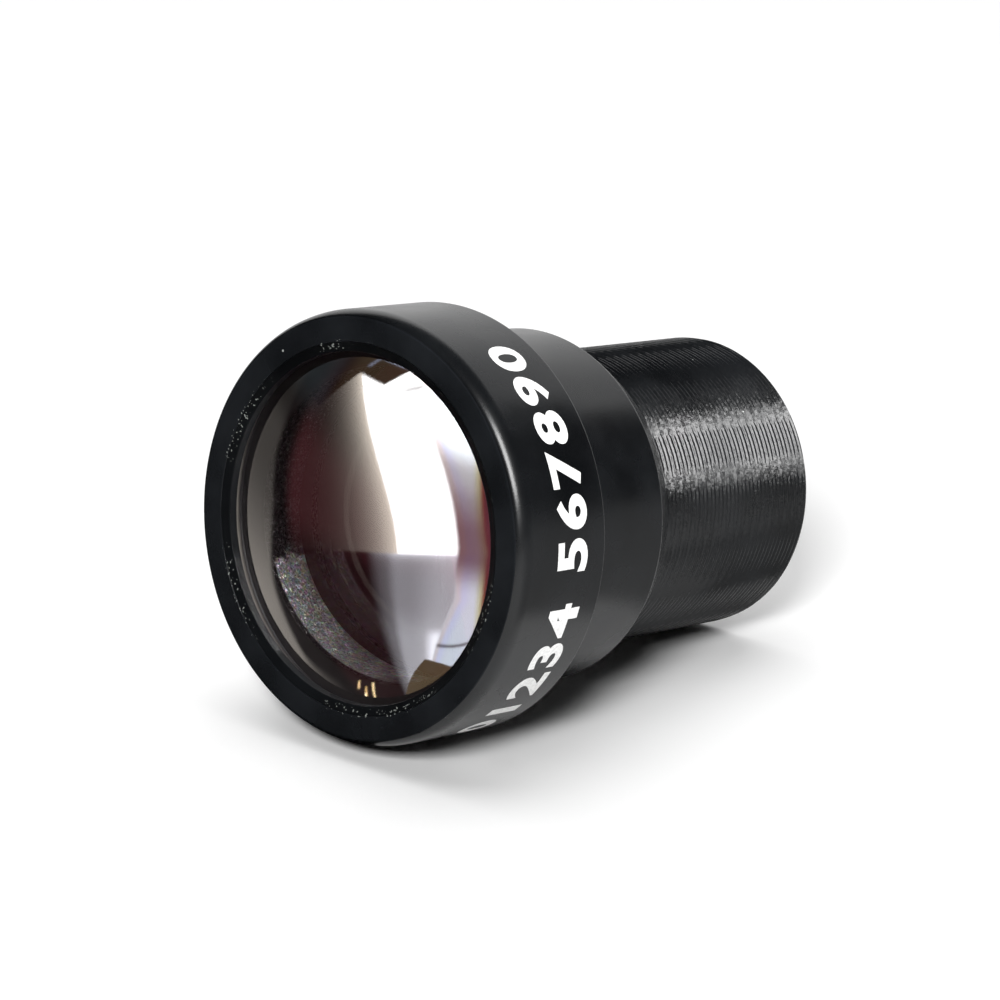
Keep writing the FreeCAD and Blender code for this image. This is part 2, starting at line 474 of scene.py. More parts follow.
def softened(corners: Sequence[Corner], steps: int = 5) -> Values:
    """Rounds the corners of a closed outline.

    Each corner is replaced by the parabola that leaves one edge and joins the other at the given
    distance from the corner, with one more point just outside each end of it, which keeps the
    shading of the flat parts flat.

    Args:
        corners: radius, depth and rounding of each corner, in order.
        steps: points on each rounding.

    Returns:
        Radius and depth of every point, in rows.
    """
    table = np.array(corners, float)
    place, reach = table[:, :2], table[:, 2:]
    before, after = np.roll(place, 1, 0) - place, np.roll(place, -1, 0) - place
    before_length = np.linalg.norm(before, axis=1, keepdims=True)
    after_length = np.linalg.norm(after, axis=1, keepdims=True)
    guard = np.where(reach > 0, 0.03, 0.0)
    start = place + before / before_length * reach
    end = place + after / after_length * reach
    lead = place + before / before_length * np.minimum(reach + guard, 0.45 * before_length)
    trail = place + after / after_length * np.minimum(reach + guard, 0.45 * after_length)
    t = np.linspace(0, 1, steps)[None, :, None]
    curve = (1 - t) ** 2 * start[:, None] + 2 * t * (1 - t) * place[:, None] + t ** 2 * end[:, None]
    points = np.concatenate([lead[:, None], curve, trail[:, None]], axis=1).reshape(-1, 2)
    step = np.linalg.norm(points - np.roll(points, 1, 0), axis=1)
    return points[step > 1e-5]


def sagitta(curve: float, radius: Values | float) -> Values:
    """How much deeper a spherical surface lies at a radius than at its vertex.

    It is the curve less the root of the curve squared less the radius squared, with the curve's
    sign on the root. A curve of 0 is flat.

    Args:
        curve: radius of curvature, positive where the centre lies towards the rear.
        radius: distance from the axis.

    Returns:
        The extra depth.
    """
    if curve == 0:
        return 0.0 * radius
    return curve - np.sign(curve) * np.sqrt(curve * curve - np.square(radius))


@dataclass
class Surface:
    """Points and faces of a piece, in millimetres, with a finish number for each face."""

    points: Values
    faces: list[NDArray[np.int64]]
    finish: list[NDArray[np.int64]]


def turned(radius: Values, depth: Values, finish: NDArray[np.int64] | None = None,
           turn: Values | None = None) -> Surface:
    """Turns an outline about the axis.

    A point stands at radius times the cosine and the sine of the turn, and at the barrel's length
    less the depth. An outline that starts and ends on the axis gets one point at each pole;
    any other outline is closed from its last point to its first.

    Args:
        radius: radius of each outline point, or of each point and column.
        depth: depth of each outline point, or of each point and column.
        finish: finish number of the strip that starts at each outline point.
        turn: angle of each point and column, or None for even angles.

    Returns:
        The surface, with its faces pointing outwards when the outline runs from the front over
        the outside to the rear.
    """
    columns = COLUMNS if turn is None else turn.shape[1]
    turn = np.arange(columns) * FULL_TURN / columns if turn is None else turn
    wide = radius if radius.ndim == 2 else np.repeat(radius[:, None], columns, 1)
    deep = depth if depth.ndim == 2 else np.repeat(depth[:, None], columns, 1)
    poles = radius.ndim == 1 and radius[0] < 1e-9 and radius[-1] < 1e-9
    rows = slice(1, -1) if poles else slice(None)
    ring, level = wide[rows], deep[rows]
    points = np.stack([ring * np.cos(turn), ring * np.sin(turn), BARREL_LENGTH - level], -1)
    points = points.reshape(-1, 3)
    count = len(level)
    strips = np.arange(count - 1 if poles else count)
    index = np.arange(count * columns).reshape(count, columns)
    first, second = index[strips], index[(strips + 1) % count]
    quads = np.stack([first, second, np.roll(second, -1, 1), np.roll(first, -1, 1)], -1).reshape(-1, 4)
    numbers = np.zeros(len(radius), int) if finish is None else finish
    strip_finish = np.repeat(numbers[strips + 1] if poles else numbers, columns)
    faces, marks = [quads], [strip_finish]
    if poles:
        front, rear = len(points), len(points) + 1
        ends = np.array([[0, 0, BARREL_LENGTH - depth[0]], [0, 0, BARREL_LENGTH - depth[-1]]])
        points = np.concatenate([points, ends])
        top, low = index[0], index[-1]
        faces.append(np.stack([np.full(columns, front), top, np.roll(top, -1)], -1))
        faces.append(np.stack([low, np.full(columns, rear), np.roll(low, -1)], -1))
        marks += [np.full(columns, numbers[0]), np.full(columns, numbers[-2])]
    return Surface(points, faces, marks)


def make_piece(name: str, surface: Surface, materials: Sequence[bpy.types.Material],
               crease: float = 40.0) -> bpy.types.Object:
    """Writes a surface into a mesh object at the origin.

    Args:
        name: name of the object.
        surface: its points and faces.
        materials: the materials that the finish numbers stand for.
        crease: angle above which an edge is shaded sharp, in degrees.

    Returns:
        The object, linked to the scene.
    """
    mesh = bpy.data.meshes.new(name)
    loops = np.concatenate([f.reshape(-1) for f in surface.faces])
    sizes = np.concatenate([np.full(len(f), f.shape[1]) for f in surface.faces])
    mesh.vertices.add(len(surface.points))
    mesh.vertices.foreach_set("co", (surface.points * MILLIMETRE).astype(np.float32).reshape(-1))
    mesh.loops.add(len(loops))
    mesh.loops.foreach_set("vertex_index", loops.astype(np.int32))
    mesh.polygons.add(len(sizes))
    mesh.polygons.foreach_set("loop_start", (np.cumsum(sizes) - sizes).astype(np.int32))
    for material in materials:
        mesh.materials.append(material)
    mesh.polygons.foreach_set("material_index", np.concatenate(surface.finish).astype(np.int32))
    mesh.update(calc_edges=True)
    mesh.validate()
    mesh.shade_smooth()
    mesh.set_sharp_from_angle(angle=math.radians(crease))
    made = bpy.data.objects.new(name, mesh)
    bpy.context.scene.collection.objects.link(made)
    return made


def place_piece(piece: bpy.types.Object, node: str | None = None) -> bpy.types.Object:
    """Lets a piece ride on the body.

    Args:
        piece: the finished object.
        node: the solid that it stands for, or None for an added piece.

    Returns:
        The piece.
    """
    if node:
        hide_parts(node)
    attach(piece, BODY)
    log.info("%s: %d faces", piece.name, len(piece.data.polygons))
    return piece


@dataclass
class Thread:
    """A screw thread cut in a turned wall."""

    pitch: float
    cut: float
    start: float                  # depth where it starts
    fade: float = 0.35            # length over which it fades in
    ripple: float = 0.0           # depth of the finer ridges between the main ones

    def depth_at(self, depth: Values, turn: Values) -> Values:
        """How far the thread cuts in.

        The phase is the depth over the pitch less the turn over a full turn. The cut is a triangle
        wave of the phase, plus a triangle wave of twice the phase for the finer ridges, and it
        fades in at the thread's start.

        Args:
            depth: depth of each row.
            turn: angle of each column.

        Returns:
            The cut for each row and column.
        """
        phase = np.mod(depth[:, None] / self.pitch - turn[None, :] / FULL_TURN, 1.0)
        wave = 1 - np.abs(2 * phase - 1)
        fine = 1 - np.abs(2 * np.mod(2 * phase, 1.0) - 1)
        ramp = np.clip((depth - self.start) / self.fade, 0, 1)[:, None]
        return (self.cut * wave + self.ripple * fine) * ramp * ramp * (3 - 2 * ramp)


@dataclass
class Barrel:
    """The one-piece turned barrel: head, step band and threaded tube, bored from both ends."""

    head_radius: float = 8.4
    head_length: float = 4.95
    step_radius: float = 7.05
    step_length: float = 6.05
    tube_radius: float = 6.0
    tube_end_chamfer: float = 0.35
    front_edge_width: float = 0.35
    front_edge_depth: float = 0.75
    head_rear_chamfer: float = 0.12
    step_chamfer_width: float = 0.6
    step_chamfer_length: float = 1.05
    front_thread_bore: float = 7.175
    front_thread_depth: float = 0.95
    front_bore: float = 7.02
    shoulder_depth: float = 4.141
    second_bore: float = 5.62
    web_front: float = 10.462
    web_rear: float = 11.325
    web_bore: float = 4.3
    rear_bore: float = 4.92
    rear_thread_bore: float = 5.06
    rear_thread_start: float = 17.09
    rear_mouth_chamfer: float = 0.15
    soft: float = 0.03            # rounding left on the turned edges
    face_finish: float = 0.02     # depth down to which the finish of the front face goes
    outer_finish: float = 5.2     # radius beyond which a point behind the step is on the tube
    outer_thread: float = 5.6     # radius beyond which the tube's thread is cut

    def surface(self) -> Surface:
        """The barrel as a turned surface with its threads.

        The front edge is a quarter of an ellipse. The tube's wall is its radius less the outer
        thread's cut, and the wall of the rear bore is its radius plus the inner thread's.

        Returns:
            The surface, with finish 1 on the tube's outside, 2 on the front face and 0 elsewhere.
        """
        tube_start = self.head_length + self.step_length
        quarter = np.radians(np.linspace(0, 90, 13))
        edge = [(self.head_radius - self.front_edge_width * (1 - math.sin(a)),
                 self.front_edge_depth * (1 - math.cos(a)), 0.0) for a in quarter]
        outer = Thread(pitch=0.5, cut=0.014, start=tube_start + 0.1, ripple=0.095)
        inner = Thread(pitch=0.5, cut=0.16, start=self.rear_thread_start)
        rows = np.arange(tube_start, BARREL_LENGTH + 1e-9, outer.pitch / 16)
        cone = self.tube_radius - np.clip(rows - (BARREL_LENGTH - self.tube_end_chamfer), 0, None)
        tube = [(r, d, 0.0) for r, d in zip(cone, rows)]
        mouth = BARREL_LENGTH - self.rear_mouth_chamfer
        thread_rows = np.arange(mouth, self.rear_thread_start, -inner.pitch / 12)
        wall = [(self.rear_thread_bore, d, 0.0) for d in thread_rows]
        corners = [
            (self.front_thread_bore, 0.0, self.soft), *edge,
            (self.head_radius, self.head_length - self.head_rear_chamfer, 0.04),
            (self.head_radius - self.head_rear_chamfer, self.head_length, 0.04),
            (self.step_radius, self.head_length, 0.02),
            (self.step_radius, tube_start - self.step_chamfer_length, 0.05),
            (self.step_radius - self.step_chamfer_width, tube_start, self.soft),
            *tube,
            (self.rear_thread_bore + self.rear_mouth_chamfer, BARREL_LENGTH, self.soft),
            *wall,
            (self.rear_thread_bore, self.rear_thread_start, 0.0),
            (self.rear_bore, self.rear_thread_start, 0.0), (self.rear_bore, self.web_rear, 0.0),
            (self.web_bore, self.web_rear, 0.0), (self.web_bore, self.web_front, 0.0),
            (self.second_bore, self.web_front, 0.0), (self.second_bore, self.shoulder_depth, 0.0),
            (self.front_bore, self.shoulder_depth, 0.0),
            (self.front_bore, self.front_thread_depth, 0.0),
            (self.front_thread_bore, self.front_thread_depth, 0.0),
        ]
        outline = softened(corners)
        radius, depth = outline[:, 0], outline[:, 1]
        turn = np.arange(COLUMNS) * FULL_TURN / COLUMNS
        wide = np.repeat(radius[:, None], COLUMNS, 1)
        on_tube = (radius > self.outer_thread) & (depth > tube_start) & (radius <= self.tube_radius)
        cut = self.tube_radius - outer.depth_at(depth, turn)
        outside = (radius > self.outer_finish) & (depth > tube_start)
        finish = np.where(outside, 1, np.where(depth < self.face_finish, 2, 0))
        wide = np.where(on_tube[:, None], np.minimum(wide, cut), wide)
        on_wall = (np.abs(radius - self.rear_thread_bore) < 1e-6) & (depth <= mouth)
        groove = self.rear_thread_bore + inner.depth_at(depth, turn)
        wide = np.where(on_wall[:, None] & (depth < mouth - 0.02)[:, None], groove, wide)
        return turned(wide, depth, finish=finish)

    def build(self, plain: Anodised, threaded: Anodised, lit_face: Anodised) -> bpy.types.Object:
        """Builds the barrel.

        Args:
            plain: the finish of the head, the step band and the bores.
            threaded: the finish of the tube.
            lit_face: the finish of the front face, a lighter colour as painted reflected light.

        Returns:
            The piece.
        """
        finishes = [finish.material() for finish in (plain, threaded, lit_face)]
        piece = make_piece("barrel_turned", self.surface(), finishes, crease=60)
        return place_piece(piece, "barrel")


def washer(bore: float, radius: float, front: float, rear: float, soft: float = 0.0) -> list[Corner]:
    """Corners of a plain ring, with the edges of its bore rounded by soft."""
    return [(bore, front, soft), (radius, front, 0.0), (radius, rear, 0.0), (bore, rear, soft)]


@dataclass
class TurnedPiece:
    """A ring or spacer that a closed outline makes when it is turned."""

    node: str
    slot: Slot
    corners: Sequence[Corner]

    def build(self, material: bpy.types.Material,
              face: bpy.types.Material | None = None) -> bpy.types.Object:
        """Builds the ring or spacer.

        Its front face is every strip that stays within 0.025 mm of its foremost point.

        Args:
            material: its finish.
            face: the finish of its front face, or None for the same.

        Returns:
            The piece.
        """
        outline = softened(self.corners)
        radius, depth = outline[:, 0], outline[:, 1]
        following = np.roll(depth, -1)
        finish = (np.maximum(depth, following) < depth.min() + 0.025).astype(int)
        surface = turned(radius, depth, finish=finish)
        piece = make_piece(self.node + "_turned", surface, [material, face or material])
        return place_piece(piece, self.node)


@dataclass
class FourthSpacer:
    """The long sleeve between the rear glasses, with saw-tooth grooves that trap stray light."""

    front: float = 13.513
    rear: float = 16.396
    bore: float = 4.3
    radius: float = 4.9
    margin: float = 0.35
    pitch: float = 0.5
    groove: float = 0.28

    def corners(self) -> list[Corner]:
        """Corners of the outline: each groove has one square and one slanted side.

        Returns:
            Radius, depth and rounding of each corner, from the front over the outside to the rear.
        """
        count = int((self.rear - self.front - 2 * self.margin) / self.pitch)
        first = (self.front + self.rear - count * self.pitch) / 2
        ends = [first + (i + 1) * self.pitch for i in reversed(range(count))]
        teeth = [(r, end, 0.0) for end in ends for r in (self.bore, self.bore + self.groove)]
        teeth.append((self.bore, first, 0.0))
        return [(self.bore, self.front, 0.0), (self.radius, self.front, 0.0),
                (self.radius, self.rear, 0.0), (self.bore, self.rear, 0.0), *teeth]


@dataclass
class Glass:
    """A lens: two polished spherical sides, ground flats outside them and a ground rim."""

    node: str
    slot: Slot
    vertex: float
    curves: tuple[float, float]
    thickness: float
    rim: float
    front_clear: float = 0.0
    rear_clear: float = 0.0
    bevel: float = 0.1
    air: float = 0.004            # keeps the glass off what it touches

    def surface(self) -> Surface:
        """The glass as a turned surface.

        Each polished side follows vertex plus sagitta out to its clear radius, the ground flat
        goes on at the same depth to the bevel, and the rim is a cylinder.

        Returns:
            The surface, with finish 0 on the front side, 1 on the flats and the rim, 2 on the rear.
        """
        edge = self.rim - self.bevel
        front_clear, rear_clear = self.front_clear or edge, self.rear_clear or edge
        across = np.sin(np.radians(np.linspace(0, 90, 49)))
        front_radius, rear_radius = front_clear * across, rear_clear * across[::-1]
        front_depth = self.vertex + self.air + sagitta(self.curves[0], front_radius)
        rear_depth = self.vertex + self.thickness - self.air + sagitta(self.curves[1], rear_radius)
        front_edge, rear_edge = front_depth[-1], rear_depth[0]
        flat = [(edge, front_edge)] if front_clear < edge else []
        flat += [(self.rim, front_edge + self.bevel), (self.rim, rear_edge - self.bevel)]
        flat += [(edge, rear_edge)] if rear_clear < edge else []
        radius = np.concatenate([front_radius, [p[0] for p in flat], rear_radius])
        depth = np.concatenate([front_depth, [p[1] for p in flat], rear_depth])
        finish = np.zeros(len(radius), int)
        finish[len(front_radius) - 1:] = 1
        finish[len(front_radius) + len(flat):] = 2
        return turned(radius, depth, finish=finish)

    def build(self, front: bpy.types.Material, rim: bpy.types.Material,
              rear: bpy.types.Material | None = None) -> bpy.types.Object:
        """Builds the lens.

        Args:
            front: the finish of its front side.
            rim: the finish of its rim and its flats.
            rear: the finish of its rear side, or None for that of the front.

        Returns:
            The piece.
        """
        piece = make_piece(self.node + "_ground", self.surface(), [front, rim, rear or front])
        return place_piece(piece, self.node)


@dataclass
class RearRing:
    """The threaded ring behind the last glass, with two slots for a pin spanner in its rear face."""

    front: float = 17.692
    rear: float = 20.142
    radius: float = 5.05
    bore: float = 4.0
    seat_radius: float = 4.47
    seat_depth: float = 19.592
    slot_width: float = 0.9
    slot_depth: float = 0.5
    slot_columns: int = 6
    arc_columns: int = 90

    def surface(self) -> Surface:
        """The ring as a turned surface whose columns follow the sides of the slots.

        A slot's side stands at the angle whose sine is half the slot's width over the radius, so
        that both sides are parallel, and between them no point is deeper than the slot's floor.

        Returns:
            The surface.
        """
        outline = softened([
            (self.bore, self.front, 0.03), (self.radius, self.front, 0.05),
            (self.radius, self.rear, 0.06),
            (self.seat_radius, self.rear, 0.04), (self.seat_radius, self.seat_depth, 0.0),
            (self.bore, self.seat_depth, 0.03)])
        radius, depth = outline[:, :1], outline[:, 1:]
        side = np.arcsin(self.slot_width / 2 / radius)
        across = side * np.linspace(-1, 1, self.slot_columns)
        arc = side + (math.pi - 2 * side) * np.linspace(0, 1, self.arc_columns)
        turn = np.concatenate([across, arc, across + math.pi, arc + math.pi], 1)
        cut = np.minimum(depth, self.rear - self.slot_depth)
        slotted = np.concatenate([np.repeat(cut, self.slot_columns, 1),
                                  np.repeat(depth, self.arc_columns, 1)], 1)
        return turned(np.repeat(radius, turn.shape[1], 1), np.tile(slotted, 2), turn=turn)

    def build(self, material: bpy.types.Material) -> bpy.types.Object:
        """Builds the ring, with the points that lie on each other merged.

        Args:
            material: its finish.

        Returns:
            The piece.
        """
        piece = make_piece("rear_ring_turned", self.surface(), [material])
        merger = bmesh.new()
        merger.from_mesh(piece.data)
        bmesh.ops.remove_doubles(merger, verts=merger.verts, dist=1e-7)
        merger.to_mesh(piece.data)
        merger.free()
        piece.data.shade_smooth()
        piece.data.set_sharp_from_angle(angle=math.radians(40))
        return place_piece(piece, "rear_ring")


@dataclass
class Numerals:
    """Plain white numbers round the head, their tops towards the front."""

    radius: float = 8.4
    middle: float = 3.0           # depth of their middle line
    height: float = 1.7
    stretch: float = 1.25
    weight: float = 0.035
    lift: float = 0.006
    rows: tuple[tuple[str, float, float], ...] = (   # figures, angle of the first, angle between two
        ("01234", -166.0, 10.8), ("567890", -104.9, 11.2))

    def strip(self, figures: str, start: float, pitch: float) -> list[bpy.types.Object]:
        """Numbers at even angles, from start, in degrees."""
        return [self.figure(f, math.radians(start + pitch * i), i) for i, f in enumerate(figures)]

    def figure(self, character: str, centre: float, number: int) -> bpy.types.Object:
        """One number, cut from the flat and wrapped round the head.

        A point of the flat number goes to the angle centre plus its width over the radius, and to
        the height of the middle line plus its own height.

        Args:
            character: the number.
            centre: angle of its middle, in radians.
            number: place in its row, for the name.

        Returns:
            The number as a mesh object.
        """
        curve = bpy.data.curves.new("figure", "FONT")
        curve.body, curve.size, curve.offset = character, 1.0, self.weight
        curve.resolution_u = 6
        flat = bpy.data.objects.new("figure", curve)
        mesh = bpy.data.meshes.new_from_object(flat)
        bpy.data.objects.remove(flat)
        cutter = bmesh.new()
        cutter.from_mesh(mesh)
        for x in np.arange(-0.2, 1.2, 0.06):
            everything = cutter.verts[:] + cutter.edges[:] + cutter.faces[:]
            bmesh.ops.bisect_plane(cutter, geom=everything, plane_co=(x, 0, 0), plane_no=(1, 0, 0))
        cutter.to_mesh(mesh)
        cutter.free()
        points = np.empty(len(mesh.vertices) * 3, np.float32)
        mesh.vertices.foreach_get("co", points)
        points = points.reshape(-1, 3).astype(float)
        low, high = points.min(0), points.max(0)
        scale = self.height / (high[1] - low[1])
        across = (points[:, 0] - (low[0] + high[0]) / 2) * scale * self.stretch
        up = (points[:, 1] - (low[1] + high[1]) / 2) * scale
        turn = centre + across / self.radius
        reach = self.radius + self.lift
        wrapped = np.stack([reach * np.cos(turn), reach * np.sin(turn),
                            BARREL_LENGTH - self.middle + up], -1) * MILLIMETRE
        mesh.vertices.foreach_set("co", wrapped.astype(np.float32).reshape(-1))
        mesh.update()
        made = bpy.data.objects.new(f"head_number_{number}_{character}", mesh)
        bpy.context.scene.collection.objects.link(made)
        return made

    def build(self, finish: Print) -> None:
        """Builds both rows of numbers.

        Args:
            finish: the ink.
        """
        ink = finish.material()
        for figure in [figure for row in self.rows for figure in self.strip(*row)]:
            figure.data.materials.append(ink)
            place_piece(figure)


@dataclass(frozen=True)
class Station:
    """Where the camera stands: the view of the photograph, as a pinhole."""

    focal: float = 3977.46        # pixels, for a picture 1000 pixels wide
    distance: float = 151.443     # to the plane of the front face's centre
    face_x: float = 354.01
    face_y: float = 529.65
    yaw: float = 0.7236
    pitch: float = 0.0960
    picture: float = 1000.0
    sensor: float = 36.0

    def axes(self) -> tuple[Values, Values]:
        """The camera in the frame of the lens.

        Returns:
            The camera's place in millimetres, and its right, up and back directions in columns.
        """
        middle = self.picture / 2
        across, down = (self.face_x - middle) / self.focal, (self.face_y - middle) / self.focal
        face = np.array([across, down, 1.0]) * self.distance
        axis = np.array([math.cos(self.pitch) * math.sin(self.yaw), -math.sin(self.pitch),
                         math.cos(self.pitch) * math.cos(self.yaw)])
        rear = face + BARREL_LENGTH * axis
        z = -axis
        y = rear - (rear @ z) * z
        y /= np.linalg.norm(y)
        turn = np.stack([np.cross(y, z), y, z], 1)
        return turn.T @ -rear, turn.T @ np.diag([1.0, -1.0, -1.0])

    def build(self) -> None:
        """Creates the camera and makes it the scene's."""
        place, turn = self.axes()
        data = bpy.data.cameras.new("camera")
        data.lens, data.sensor_width = self.focal * self.sensor / self.picture, self.sensor
        data.clip_start, data.clip_end = 0.01, 20.0
        camera = bpy.data.objects.new("camera", data)
        matrix = Matrix(turn.tolist()).to_4x4()
        matrix.translation = Vector(place) * MILLIMETRE
        camera.matrix_world = matrix
        bpy.context.scene.collection.objects.link(camera)
        bpy.context.scene.camera = camera


def eased(value: Values, low: float, high: float) -> Values:
    """A smooth step from 0 to 1: three times the square of the share less twice its cube."""
    share = np.clip((value - low) / (high - low), 0, 1)
    return share * share * (3 - 2 * share)


@dataclass(frozen=True)
class Streak:
    """A short bright line of the glow sheet, in degrees of turn and lift."""

    turn: float
    width: float
    lifts: tuple[float, float]
    slant: float                  # degrees of turn for each degree of lift
    colour: Colour

    def light(self, turn: Values, lift: Values) -> Values:
        """Its light: a bell curve across the slanted line, eased at both ends.

        Args:
            turn: turn of each direction.
            lift: lift of each direction.

        Returns:
            The colour for each direction.
        """
        low, high = self.lifts
        line = self.turn + self.slant * (lift - (low + high) / 2)
        across = np.exp(-((turn - line) / self.width) ** 2)
        along = eased(lift, low, low + 0.8) * (1 - eased(lift, high - 0.8, high))
        return (across * along)[..., None] * np.array(self.colour)


@dataclass
class Glow:
    """How bright the glow sheet is in each direction from the dome, in degrees of turn and lift."""

    turns: tuple[float, float] = (-145.0, 127.0)
    lifts: tuple[float, float] = (-78.0, 48.0)
    step: float = 0.5
    origin: tuple[float, float, float] = (-4.5, -10.0, 2.0)
    clearance: float = 0.3
    reach: float = 500.0
    white: float = 20.0           # radiance of the brightest part
    inner: Colour = (0.10, 0.02, 0.035)   # what the glass surfaces further in show of it
    fringes: Steps = ((0.0, (1.0, 1.0, 1.0)), (1.0, (0.95, 0.88, 0.85)), (3.0, (0.85, 0.92, 1.15)),
                      (6.0, (0.95, 1.05, 1.1)))
    ending: Steps = ((-3.5, (1.0, 1.0, 1.0)), (-1.5, (0.8, 0.78, 0.42)), (-0.3, (0.25, 0.06, 0.01)),
                     (0.8, (0.0, 0.0, 0.0)))
    streaks: tuple[Streak, ...] = (
        Streak(-105.0, 0.9, (-65.5, -60.5), 1.7, (10.0, 9.0, 6.5)),
        Streak(-101.5, 0.9, (-58.8, -55.5), 1.5, (10.0, 7.0, 3.5)),
        Streak(-101.7, 0.9, (-64.6, -58.5), 1.3, (8.0, 5.2, 2.0)),
        Streak(-96.4, 1.0, (-67.0, -58.0), 1.05, (11.0, 8.5, 4.5)),
        Streak(-87.0, 1.8, (30.6, 34.2), 4.0, (16.0, 19.0, 26.0)),
        Streak(-91.4, 0.5, (27.0, 31.5), 0.65, (1.5, 1.8, 2.6)))

    def from_left(self, turn: Values, lift: Values) -> Values:
        """Degrees right of the white part's left edge, whose turn is a quadratic of the lift."""
        bend = np.clip(lift, -6.7, 40.0)
        return turn - (-64.6 - 0.4126 * bend - 0.02814 * bend ** 2)

    def past_arc(self, turn: Values, lift: Values) -> Values:
        """Degrees right of the arc that ends the white part, whose turn is a cubic of the lift.

        Args:
            turn: turn of each direction.
            lift: lift of each direction.

        Returns:
            The distance for each direction.
        """
        bend = np.clip(lift, -18.0, 30.0)
        straight = 0.2 * np.clip(lift + 18.0, None, 0)
        return turn - (-44.8 - 0.19 * bend - 0.0085 * bend ** 2 - 0.0004 * bend ** 3 + straight)

    def above(self, turn: Values, lift: Values) -> Values:
        """Degrees above the horizon, a line that rises with the turn."""
        return lift - (-6.7 + 0.188 * (turn + 63.1))

    def over_horizon(self, turn: Values, lift: Values) -> Values:
        """1 above the horizon and 0 below it."""
        return eased(self.above(turn, lift), -0.4, 0.4)

    def under_roof(self, turn: Values, lift: Values) -> Values:
        """1 below the roof, which three slanted lines make, and 0 above it."""
        roof = np.minimum(22.2 + 1.53 * np.clip(turn + 95.7, -6.0, None),
                          np.maximum(25.3 + 0.217 * (turn + 92.7), 27.3 + 1.19 * (turn + 83.5)))
        return 1 - eased(lift - roof, -0.4, 0.4)

    def over_ground(self, turn: Values, lift: Values) -> Values:
        """1 above the ground, whose edge is two slanted lines that meet, and 0 below it."""
        edge = -49.2 + np.where(turn < -52.5, 0.918, -0.17) * (turn + 52.5)
        return eased(lift - edge, -0.5, 0.5)

    def unmarked(self, turn: Values, lift: Values) -> Values:
        """Light that a dark wedge at the top and a dark crescent low down leave.

        Each is a bell curve across a line, the wedge's slanted and the crescent's a parabola, and
        is eased at its ends.

        Args:
            turn: turn of each direction.
            lift: lift of each direction.

        Returns:
            The share that is left for each direction.
        """
        wedge = np.exp(-((lift - 28.4 - 0.62 * (turn + 77.5)) / 0.7) ** 2)
        wedge = wedge * eased(turn, -79.0, -74.0) * (1 - eased(turn, -71.5, -69.5))
        crescent = np.exp(-(lift + 41.2 - 0.03 * np.clip(turn + 42.0, 0, None) ** 2) ** 2)
        crescent = crescent * eased(turn, -48.0, -45.0)
        return (1 - 0.5 * wedge) * (1 - 0.8 * crescent)

    def grey(self, turn: Values, lift: Values) -> Values:
        """Light below the horizon: paler towards the right, low down and close to the horizon.

        Args:
            turn: turn of each direction.
            lift: lift of each direction.

        Returns:
            The light for each direction, where 1 is white.
        """
        beside = self.from_left(turn, lift)
        near = np.exp(np.minimum(self.above(turn, lift), 0) / 1.2)
        light = (0.15 + 0.1 * eased(turn, -60.0, -46.0) + 0.08 * eased(-lift, 22.0, 40.0)
                 + 0.35 * eased(-lift, 31.0, 38.0) * eased(turn, -54.0, -47.0) + 0.3 * near)
        fall = 0.4 * eased(beside, -12.0, -4.0) + 0.6 * eased(beside, -5.0, 0.0)
        return light * (1 - self.over_horizon(turn, lift)) * fall

    def shaded(self, lift: Values) -> Values:
        """Light past the arc: dark in the middle, brighter high up and low down."""
        return (0.06 + 0.07 * eased(lift, 3.0, 11.0) + 0.15 * eased(lift, 9.0, 18.0)
                + 0.7 * eased(lift, 17.0, 27.0) + 0.34 * eased(-lift, 3.0, 17.0))

    def main_part(self, turn: Values, lift: Values) -> Values:
        """Colour of the white part, the grey below it and the shaded part past its arc.

        Past the arc the light passes through the fringes' colours, and further right through
        those of the ending to black. Below the horizon it is a little bluer.

        Args:
            turn: turn of each direction.
            lift: lift of each direction.

        Returns:
            The colour for each direction.
        """
        high, past = self.over_horizon(turn, lift), self.past_arc(turn, lift)
        inside, right = eased(self.from_left(turn, lift), -0.7, 0.7), eased(past, -0.8, 0.4)
        cream = 1 - 0.3 * np.exp(np.minimum(past, 0) / 1.2) * high
        light = (inside * high * cream + self.grey(turn, lift)) * (1 - right)
        light = (light + self.shaded(lift) * right) * self.under_roof(turn, lift)
        light = light * self.unmarked(turn, lift) * self.over_ground(turn, lift)
        rest = turn - (-36.0 - 0.25 * lift)
        colour = light[..., None] * self.tints(past, self.fringes) * self.tints(rest, self.ending)
        return np.where(high[..., None] > 0.5, colour, colour * np.array([0.96, 0.97, 1.06]))

    def haze(self, turn: Values, lift: Values) -> Values:
        """Colour left of the white part: it falls off with the exponent of the distance.

        Args:
            turn: turn of each direction.
            lift: lift of each direction.

        Returns:
            The colour for each direction.
        """
        beside = self.from_left(turn, lift)
        share = 0.5 * np.exp(np.minimum(beside, 0) / 6.0) * (1 - eased(beside, -0.7, 0.7))
        share = share * self.over_horizon(turn, lift) * self.under_roof(turn, lift)
        return share[..., None] * np.array([1.0, 0.9, 0.78])

